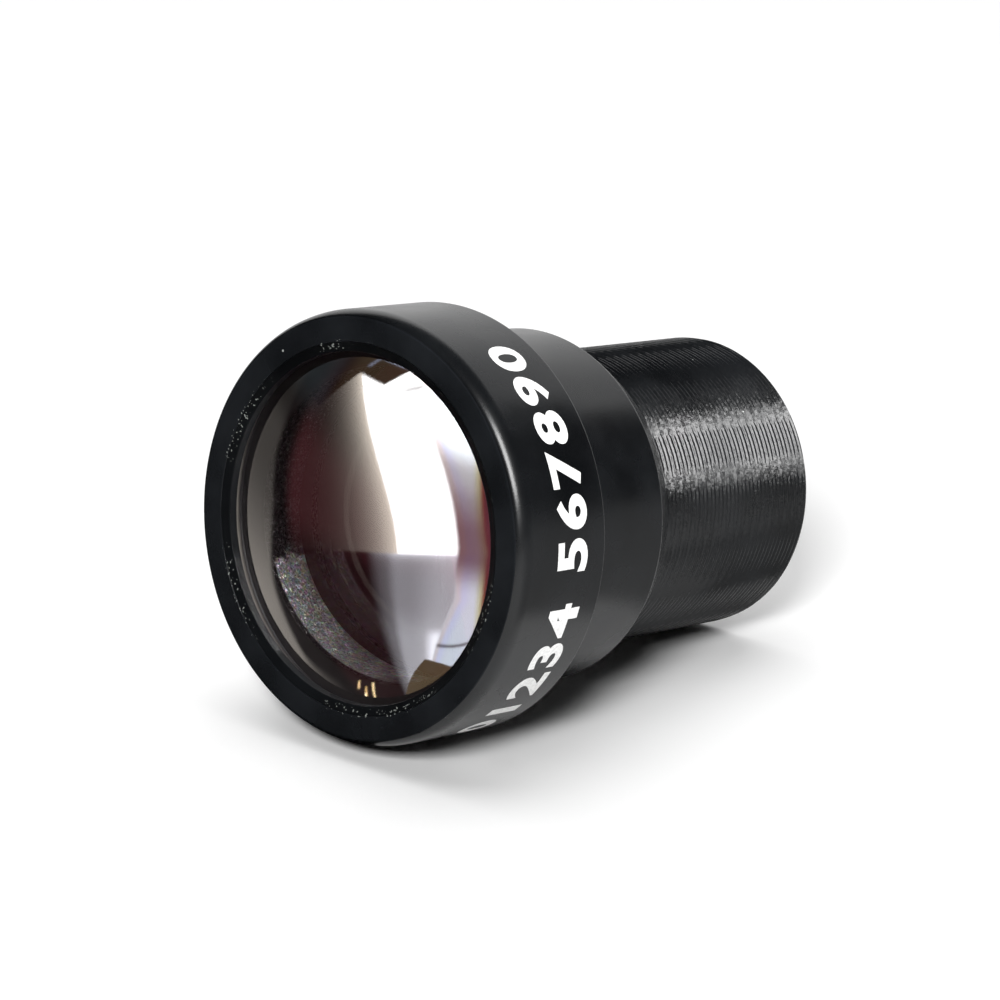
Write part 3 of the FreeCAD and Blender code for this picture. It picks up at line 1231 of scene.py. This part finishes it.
    def faint(self, turn: Values, lift: Values) -> Values:
        """Colour of the dim parts.

        It is olive above the roof and below the ground, slate at the upper left, pale at the far
        left, with an edge that blurs low down, and a dull red next to that.

        Args:
            turn: turn of each direction.
            lift: lift of each direction.

        Returns:
            The colour for each direction.
        """
        olive = (1.4 * (1 - self.over_ground(turn, lift)) * eased(turn, -128.0, -116.0)
                 + 0.6 * (1 - self.under_roof(turn, lift)) * eased(turn, -102.0, -94.0))
        slate = eased(lift, 8.0, 16.0) * (1 - eased(turn, -104.0, -98.0))
        blur = 8.0 * eased(-lift, 40.0, 55.0)
        pale = 1 - eased(turn + 114.0 + 5.5 * eased(-lift, 6.0, 25.0), -blur, 3.0 + blur)
        pale = pale * (0.016 + 0.055 * eased(-lift, 2.0, 28.0)) * (1 - 0.7 * eased(lift, 2.0, 8.0))
        dull = eased(turn, -108.0, -102.0)
        dull = dull * (1 - 0.8 * eased(lift, 4.0, 15.0)) * (1 - 0.7 * eased(-lift, 5.0, 15.0))
        parts = ((olive, (0.03, 0.023, 0.012)), (slate, (0.006, 0.008, 0.009)),
                 (pale, (1.0, 0.92, 0.83)), (dull, (0.019, 0.005, 0.006)))
        return sum(share[..., None] * np.array(tint) for share, tint in parts)

    def colour(self, turn: Values, lift: Values) -> Values:
        """Colour of the sheet: its main part, the haze beside it, the dim parts and the streaks.

        Args:
            turn: turn of each direction.
            lift: lift of each direction.

        Returns:
            The colour for each direction, as radiance.
        """
        light = self.main_part(turn, lift) + self.haze(turn, lift) + self.faint(turn, lift)
        return self.white * light + sum(streak.light(turn, lift) for streak in self.streaks)

    def cover(self, turn: Values, lift: Values) -> Values:
        """How opaque the sheet is: whole at the left, clear past the front, partly so at the right."""
        right = 0.6 * eased(turn, 45.0, 75.0) * eased(-lift, 0.5, 2.0) * (1 - eased(-lift, 30.0, 34.0))
        return 1 - eased(turn, -30.0, -16.0) + right

    def tints(self, value: Values, steps: Steps) -> Values:
        """Colours that change evenly from step to step."""
        places, colours = zip(*steps)
        return np.stack([np.interp(value, places, channel) for channel in zip(*colours)], -1)


@dataclass
class Studio:
    """White floor, lamps and dark screens, set out from the lying lens as the camera sees it."""

    station: Station
    lie: float = math.radians(8.5)      # the head is wider than the tube, so the axis lies tilted
    rims: tuple[tuple[float, float], ...] = ((8.4, 4.83), (6.0, 20.65), (7.05, 9.9))
    floor_reach: float = 3000.0

    def __post_init__(self) -> None:
        """Finds the floor's up direction and height from the camera and the lens's tilt.

        The up direction is the camera's, leant back until the axis lies at its tilt. The floor
        touches the lowest of the rims, each given by its radius and depth.
        """
        _, turn = self.station.axes()
        right, up, back = turn[:, 0], turn[:, 1], turn[:, 2]
        tops, fronts = up[2], back[2]
        reach = math.hypot(tops, fronts)
        lift = math.asin(math.sin(self.lie) / reach) - math.atan2(tops, fronts)
        self.up = math.cos(lift) * up + math.sin(lift) * back
        self.right = right
        self.away = np.cross(self.up, self.right)
        lean = math.sqrt(1 - self.up[2] ** 2)
        self.level = min((BARREL_LENGTH - d) * self.up[2] - r * lean for r, d in self.rims)
        self.middle = np.array([0, 0, BARREL_LENGTH / 2])
        log.info("floor lift %.2f degrees, level %.3f", math.degrees(lift), self.level)

    def point(self, right: float, away: float, up: float) -> Vector:
        """A place in metres, from millimetres to the right of, behind and above the lens."""
        spot = self.middle + right * self.right + away * self.away + up * self.up
        return Vector(spot) * MILLIMETRE

    def lamp(self, name: str, spot: tuple[float, float, float], size: tuple[float, float],
             radiance: float, lit: Lit = Lit.ALL) -> bpy.types.Object:
        """Adds a rectangular lamp that faces the lens.

        Args:
            name: name of the lamp.
            spot: millimetres to the right of, behind and above the lens.
            size: width and height in millimetres.
            radiance: how bright its face is, where 1 is white.
            lit: whether it lights everything, the lens alone or the floor alone.

        Returns:
            The lamp.
        """
        data = bpy.data.lights.new(name, "AREA")
        data.shape, data.size, data.size_y = "RECTANGLE", size[0] * MILLIMETRE, size[1] * MILLIMETRE
        data.energy = radiance * math.pi * data.size * data.size_y
        lamp = bpy.data.objects.new(name, data)
        lamp.location = self.point(*spot)
        self.face(lamp, self.point(0, 0, 0))
        lamp.visible_camera = False
        if lit is not Lit.ALL:
            receivers = bpy.data.collections.new(name + "_receivers")
            receivers.objects.link(bpy.data.objects["studio_floor"])
            receivers.collection_objects[0].light_linking.link_state = lit.value
            lamp.light_linking.receiver_collection = receivers
        bpy.context.scene.collection.objects.link(lamp)
        return lamp

    def face(self, lamp: bpy.types.Object, target: Vector) -> None:
        """Turns a lamp towards a place, with its sides level with the floor.

        Args:
            lamp: the lamp, already in its place.
            target: the place that it faces, in metres.
        """
        back = (lamp.location - target).normalized()
        side = Vector(self.up).cross(back)
        side = (side if side.length > 0.01 else Vector(self.right)).normalized()
        turn = Matrix((side, back.cross(side), back)).transposed()
        lamp.rotation_mode = "QUATERNION"
        lamp.rotation_quaternion = turn.to_quaternion()

    def floor(self) -> None:
        """The white floor under the lying lens, seen from above only."""
        graph = Graph("studio_floor")
        path = graph.node("LightPath")
        shade = graph.blend(path.outputs["Is Camera Ray"], (0.9, 0.9, 0.9), (1.0, 1.0, 1.0))
        matt = graph.node("BsdfDiffuse", {"Color": shade})
        through = graph.node("BsdfTransparent")
        side = graph.node("NewGeometry")
        under = graph.maths("MULTIPLY", side.outputs["Backfacing"], path.outputs["Is Camera Ray"])
        whole = graph.node("MixShader", {0: under, 1: matt.outputs[0], 2: through.outputs[0]})
        material = graph.finish(whole.outputs[0])
        drop = self.level - self.middle @ self.up
        corners = [self.point(x * self.floor_reach, y * self.floor_reach, drop)
                   for x, y in ((-1, -1), (1, -1), (1, 1), (-1, 1))]
        mesh = bpy.data.meshes.new("studio_floor")
        mesh.from_pydata(corners, [], [(0, 1, 2, 3)])
        mesh.materials.append(material)
        made = bpy.data.objects.new("studio_floor", mesh)
        bpy.context.scene.collection.objects.link(made)

    def screen(self, name: str, distance: float, turns: tuple[float, float], lifts: tuple[float, float],
               shade: float) -> None:
        """A dark curved screen that only reflections and shadows see.

        A point of it stands at the given distance, at a turn round the floor's up direction, from
        the camera's side towards the right, and at a lift above the floor.

        Args:
            name: name of the screen.
            distance: from the lens, in millimetres.
            turns: first and last turn, in degrees.
            lifts: lowest and highest lift, in degrees.
            shade: how much light it sends back.
        """
        turn, lift = np.meshgrid(np.linspace(*turns, 25), np.linspace(*lifts, 13))
        graph = Graph(name)
        cloth = graph.node("BsdfDiffuse", {"Color": (shade, shade, shade, 1.0)})
        spots = self.middle + distance * self.ways(turn, lift)
        self.sheet(name, spots, graph.finish(cloth.outputs[0]))

    def ways(self, turn: Values, lift: Values) -> Values:
        """Directions for turns and lifts in degrees.

        A direction is the sine of the turn times the cosine of the lift to the right, the cosine of
        both towards the camera, and the sine of the lift upwards.

        Args:
            turn: turn of each direction, from the camera's side towards the right.
            lift: lift of each direction above the floor.

        Returns:
            The directions in the frame of the lens.
        """
        turn, lift = np.radians(turn), np.radians(lift)
        parts = (np.sin(turn) * np.cos(lift), -np.cos(turn) * np.cos(lift), np.sin(lift))
        axes = (self.right, self.away, self.up)
        return sum(part[..., None] * axis for part, axis in zip(parts, axes))

    def sheet(self, name: str, spots: Values, material: bpy.types.Material) -> bpy.types.Object:
        """Adds a sheet that the camera doesn't see.

        Args:
            name: name of the sheet.
            spots: a grid of places, in millimetres.
            material: its finish.

        Returns:
            The sheet.
        """
        index = np.arange(spots.shape[0] * spots.shape[1]).reshape(spots.shape[:2])
        quads = np.stack([index[:-1, :-1], index[:-1, 1:], index[1:, 1:], index[1:, :-1]], -1)
        mesh = bpy.data.meshes.new(name)
        mesh.from_pydata((spots * MILLIMETRE).reshape(-1, 3), [], quads.reshape(-1, 4))
        mesh.materials.append(material)
        made = bpy.data.objects.new(name, mesh)
        made.visible_camera = False
        bpy.context.scene.collection.objects.link(made)
        return made

    def glow_sheet(self, glow: Glow) -> None:
        """The bright sweep that shows in the front glass alone.

        It lies just above the floor and rises at its far edge: each point lies where its direction
        from a place at the dome meets the floor, or at the sweep's reach if that is nearer.

        Args:
            glow: how bright the sweep is in each direction.
        """
        turn, lift = np.meshgrid(np.arange(*glow.turns, glow.step), np.arange(*glow.lifts, glow.step))
        origin = self.middle + sum(o * a for o, a in zip(glow.origin, (self.right, self.away, self.up)))
        height = origin @ self.up - self.level - glow.clearance
        reach = np.minimum(glow.reach, height / np.maximum(np.sin(np.radians(-lift)), 1e-6))
        graph = Graph("glow_sheet")
        paint = graph.node("Attribute", attribute_name="glow")
        path = graph.node("LightPath")
        first = graph.maths("LESS_THAN", path.outputs["Transmission Depth"], 0.5)
        shown = graph.blend(first, glow.inner, paint.outputs["Color"])
        light = graph.node("Emission", {"Color": shown})
        clear = graph.node("BsdfTransparent")
        mixed = graph.node("MixShader", {0: paint.outputs["Alpha"],
                                         1: clear.outputs[0], 2: light.outputs[0]})
        material = graph.finish(mixed.outputs[0])
        material.cycles.emission_sampling = "NONE"
        made = self.sheet("glow_sheet", origin + reach[..., None] * self.ways(turn, lift), material)
        colour = np.empty((turn.size, 4), np.float32)
        colour[:, :3] = glow.colour(turn, lift).reshape(-1, 3)
        colour[:, 3] = glow.cover(turn, lift).reshape(-1)
        layer = made.data.attributes.new("glow", "FLOAT_COLOR", "POINT")
        layer.data.foreach_set("color", colour.reshape(-1))
        made.visible_diffuse = made.visible_shadow = False
        made.light_linking.receiver_collection = bpy.data.collections[FRONT_GLASS]

    def world(self) -> None:
        """White for camera, gloss and glass, and a plain grey for the rest of the light."""
        world = bpy.data.worlds.new("studio")
        bpy.context.scene.world = world
        world.use_nodes = True
        tree = world.node_tree
        tree.nodes.clear()
        white, grey = (tree.nodes.new("ShaderNodeBackground") for _ in range(2))
        for background, strength in ((white, 1.0), (grey, 0.3)):
            background.inputs["Strength"].default_value = strength
            background.inputs["Color"].default_value = (1, 1, 1, 1)
        path = tree.nodes.new("ShaderNodeLightPath")
        share = path.outputs["Is Camera Ray"]
        for ray in ("Is Glossy Ray", "Is Transmission Ray"):
            either = tree.nodes.new("ShaderNodeMath")
            either.operation = "MAXIMUM"
            tree.links.new(share, either.inputs[0])
            tree.links.new(path.outputs[ray], either.inputs[1])
            share = either.outputs[0]
        mix = tree.nodes.new("ShaderNodeMixShader")
        tree.links.new(share, mix.inputs[0])
        tree.links.new(grey.outputs[0], mix.inputs[1])
        tree.links.new(white.outputs[0], mix.inputs[2])
        output = tree.nodes.new("ShaderNodeOutputWorld")
        tree.links.new(mix.outputs[0], output.inputs["Surface"])

    def build(self) -> None:
        """Sets out the floor, the lamps, the screens and the world."""
        self.floor()
        self.world()
        self.lamp("top_lamp", (0, 250, 1100), (1300, 1300), 2.2).visible_glossy = False
        self.lamp("front_lamp", (-120, -660, 430), (190, 190), 50.0, Lit.FLOOR).visible_glossy = False
        self.lamp("key_lamp", (360, -495, 514), (330, 480), 19.0, Lit.LENS)
        self.screen("dark_room", 1500, (-140, 126), (-1, 42), 0.015)
        self.screen("dark_ceiling", 1550, (-180, 180), (36, 90), 0.015)
        self.glow_sheet(Glow())


def set_view() -> None:
    """Plain colour handling, and enough light bounces for six glasses."""
    scene = bpy.context.scene
    scene.view_settings.view_transform = "Standard"
    scene.cycles.max_bounces = 32
    scene.cycles.transmission_bounces = 32


def build_lens() -> None:
    """Builds the lens from the front to the rear."""
    spacer_black = Blasted("spacer_blasted").material()
    ring_black = Anodised("ring_anodised", roughness=0.35, grain_relief=0.001, shine=0.15,
                          chips=(6.9, 7.2)).material()
    stop_black = Anodised("stop_black", roughness=0.6).material()
    rim_black = Anodised("rim_paint", colour=(0.006, 0.005, 0.005), roughness=0.5).material()
    coating = (0.012, 0.005, 0.006)
    inner = [PolishedGlass(f"coated_{i}", i / 100, gleam=coating).material()
             for i in (170, 172, 178, 179, 174, 152)]

    Barrel().build(
        Anodised("barrel_anodised", roughness=0.26, dust=0.02),
        Anodised("thread_anodised", roughness=0.28, grain=0.06, grain_relief=0.003, dust=0.06,
                 dust_cell=0.6, tilt=0.05),
        # the front face: the same anodising with a lighter colour, as painted reflected light
        Anodised("face_anodised_lit", colour=(0.008, 0.009, 0.0105), shine=0.35, dust=0.04,
                 chips=(7.17, 7.26)))
    Numerals().build(Print("white_ink"))
    TurnedPiece("front_ring", Slot.RING, [
        (6.8, 0.13, 0.03), (7.165, 0.0, 0.03), (7.165, 0.5, 0.0), (6.8, 0.5, 0.02)]).build(ring_black)
    front = Glass("front_lens", Slot.FRONT_GLASS, -0.938, (16.8, 88.0), 4.2, 7.0, rear_clear=5.6).build(
        PolishedGlass("front_polished", 1.70).material(),
        GroundGlass("front_rim", 0.55, 3.3).material(), inner[0])
    bpy.data.collections.new(FRONT_GLASS).objects.link(front)
    # front spacer: its front face takes the darker rim paint as painted shade
    TurnedPiece("front_spacer", Slot.SPACER, [
        (5.5, 3.441, 0.02), (7.0, 3.441, 0.0), (7.0, 4.041, 0.0), (5.6, 4.041, 0.0),
        (5.6, 5.203, 0.0), (5.1, 5.203, 0.02)]).build(
        # painted pool of light in the bore: bare metal between these angles and behind this depth
        Blasted("sleeve_lit_patch", wear_and_lit_patch=(93.0, 171.0), lit_patch_from=3.7).material(), rim_black)
    Glass("second_lens", Slot.INNER_GLASS, 3.962, (11.1, 43.0), 2.8, 5.6,
          rear_clear=4.7).build(inner[1], rim_black)
    TurnedPiece("second_spacer", Slot.SPACER, washer(4.8, 5.6, 7.02, 7.912, 0.02)).build(spacer_black)
    Glass("third_lens", Slot.INNER_GLASS, 7.962, (-200.0, 7.85), 0.9, 5.6,
          front_clear=4.5, rear_clear=3.9).build(inner[2], rim_black)
    TurnedPiece("third_spacer", Slot.SPACER, washer(4.1, 5.6, 9.9, 10.362, 0.02)).build(spacer_black)
    TurnedPiece("aperture_stop", Slot.STOP, washer(3.3, 5.6, 10.362, 10.462)).build(stop_black)
    Glass("fourth_lens", Slot.INNER_GLASS, 11.562, (-40.0, -20.8), 2.4, 4.9,
          front_clear=4.35).build(inner[3], rim_black)
    TurnedPiece("fourth_spacer", Slot.SPACER, FourthSpacer().corners()).build(spacer_black)
    Glass("fifth_lens", Slot.INNER_GLASS, 16.462, (-140.0, -21.8), 1.6, 4.9,
          front_clear=4.3).build(inner[4], rim_black)
    RearRing().build(ring_black)
    Glass("ir_filter", Slot.FILTER, 19.592, (0.0, 0.0), 0.5, 4.45,
          bevel=0.04).build(inner[5], rim_black)


def main() -> None:
    """Builds the lens, the camera and the studio round them."""
    logging.basicConfig(level=logging.INFO, format="%(message)s", stream=sys.stdout)
    set_view()
    build_lens()
    station = Station()
    station.build()
    Studio(station).build()


if __name__ == "__main__":
    main()
